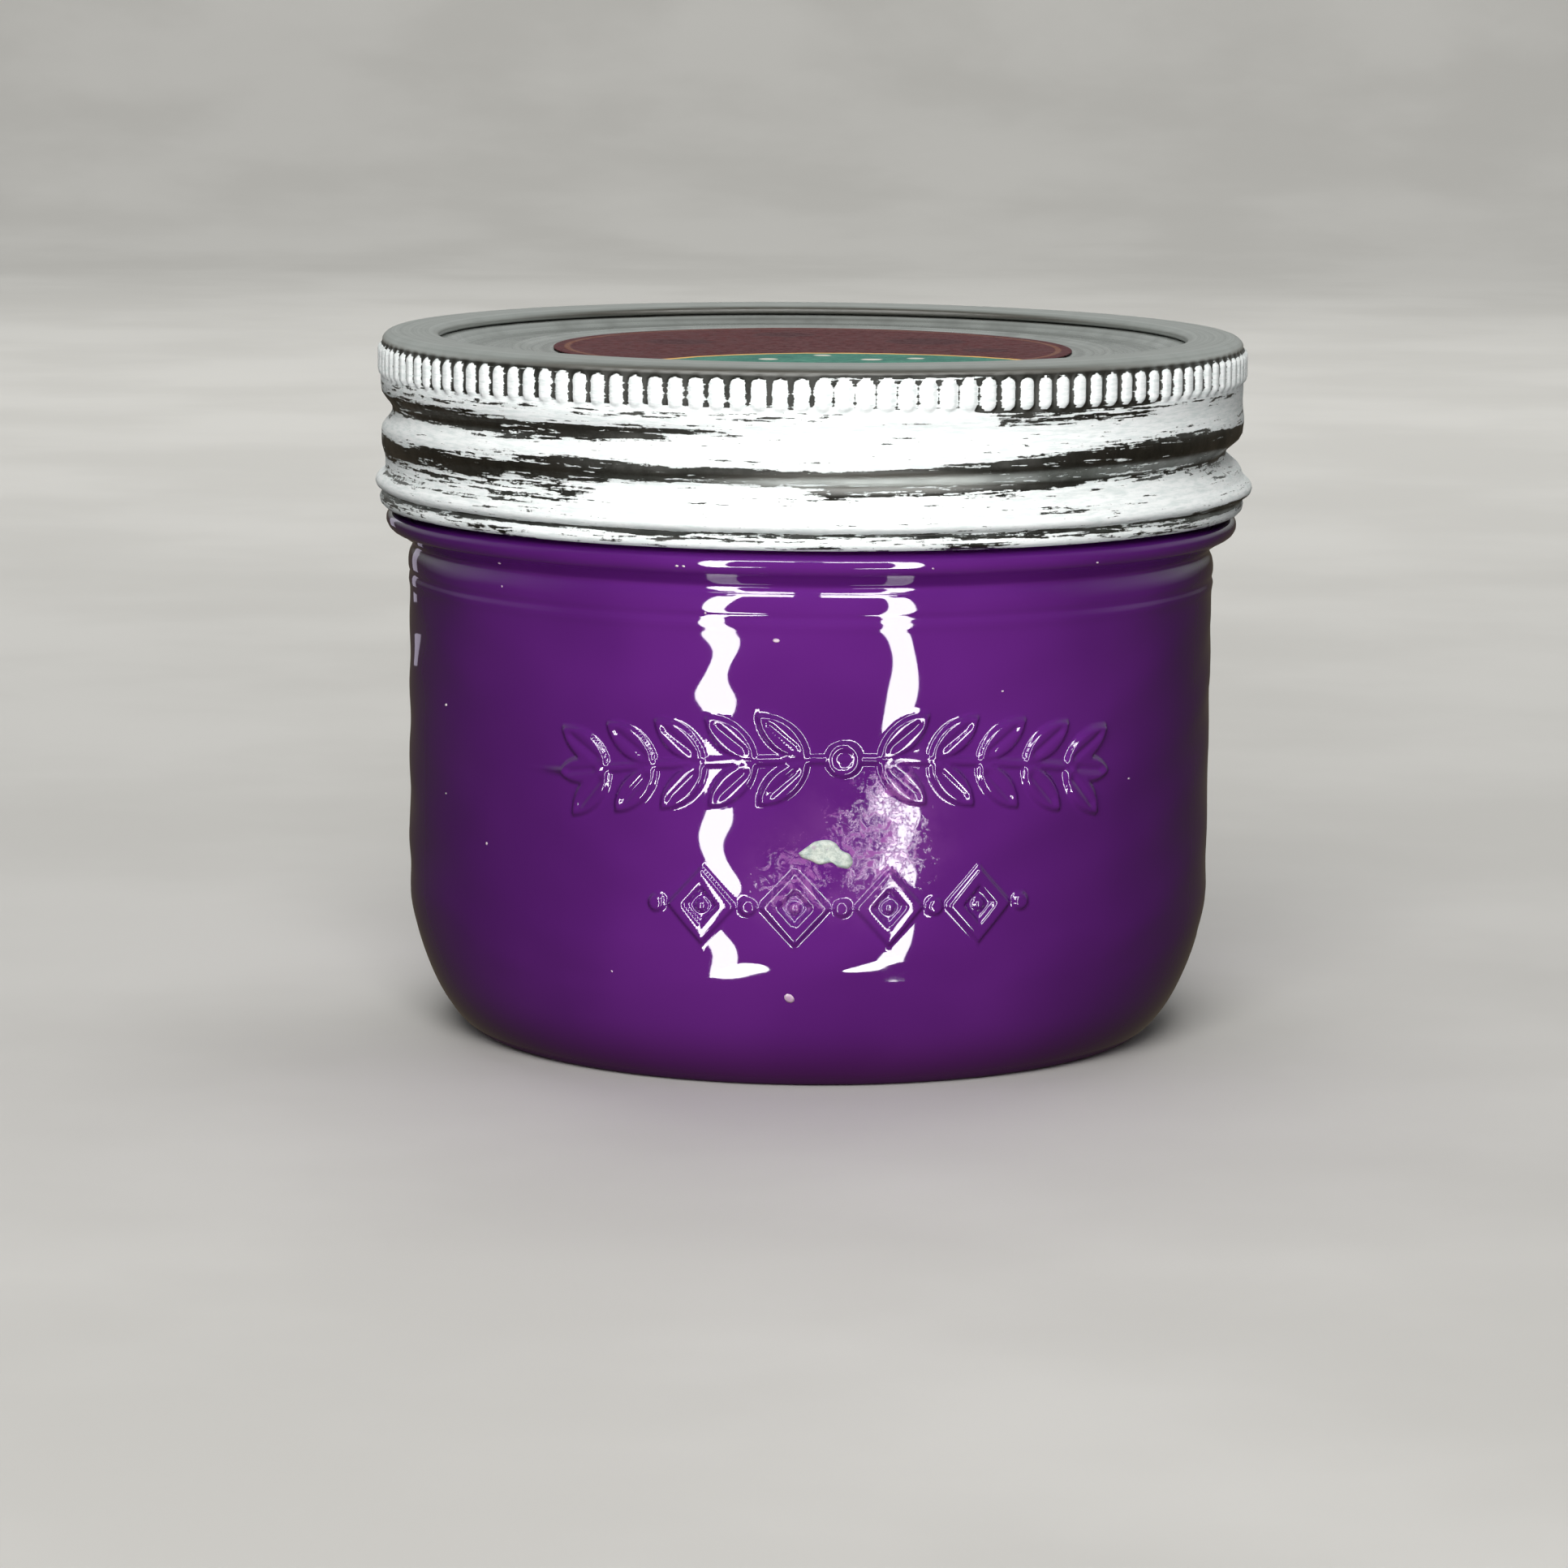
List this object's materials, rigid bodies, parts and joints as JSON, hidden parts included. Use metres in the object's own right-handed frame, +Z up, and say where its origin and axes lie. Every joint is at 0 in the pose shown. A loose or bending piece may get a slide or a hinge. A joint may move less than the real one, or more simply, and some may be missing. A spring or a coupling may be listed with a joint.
{
  "type": "paint jar",
  "caption": "Squat wide-mouth glass preserving jar filled with purple paint, closed by a recessed metal disc and a knurled screw band.",
  "frame": {"origin": "centre of the ring that the jar stands on, at the bottom of the bounding box", "axes": "+Z up along the jar's axis, -Y towards the side with the raised pattern"},
  "size_m": [0.092, 0.092, 0.0728],
  "materials": {
    "glass": "clear moulded glass with a raised pattern, seen purple because paint wets its inner wall",
    "wet_paint": "liquid purple paint with a still, slightly skinned surface",
    "dried_paint": "thin coat of dried purple paint",
    "pale_paint": "dried grey-green splash with a raised rim",
    "disc_tinplate": "plain tinplate with a fine turned grain",
    "sealing_compound": "matt grey sealing compound",
    "label_paper": "printed round label, satin",
    "band_tinplate": "tinplate brushed with chalky white paint, worn through to dull metal in streaks"
  },
  "bodies": {
    "jar": {"glass_jar": "glass", "paint_fill": "wet_paint", "paint_film": "dried_paint", "dried_fleck": "pale_paint"},
    "lid": {"lid_disc": "disc_tinplate", "lid_seal": "sealing_compound", "lid_label": "label_paper"},
    "band": {"screw_band": "band_tinplate"}
  },
  "joints": [
    {"name": "lid_lift", "type": "slide", "parent": "jar", "child": "lid", "axis": [0, 0, 1], "range_m": [0, 0.02033]},
    {"name": "band_turn", "type": "hinge", "parent": "lid", "child": "band", "pos_m": [0, 0, 0.0728], "axis": [0, 0, 1], "range_deg": [0, 1440]}
  ],
  "couplings": [
    {"joint": "lid_lift", "follows": "band_turn", "m_per_rad": 0.00080851}
  ]
}
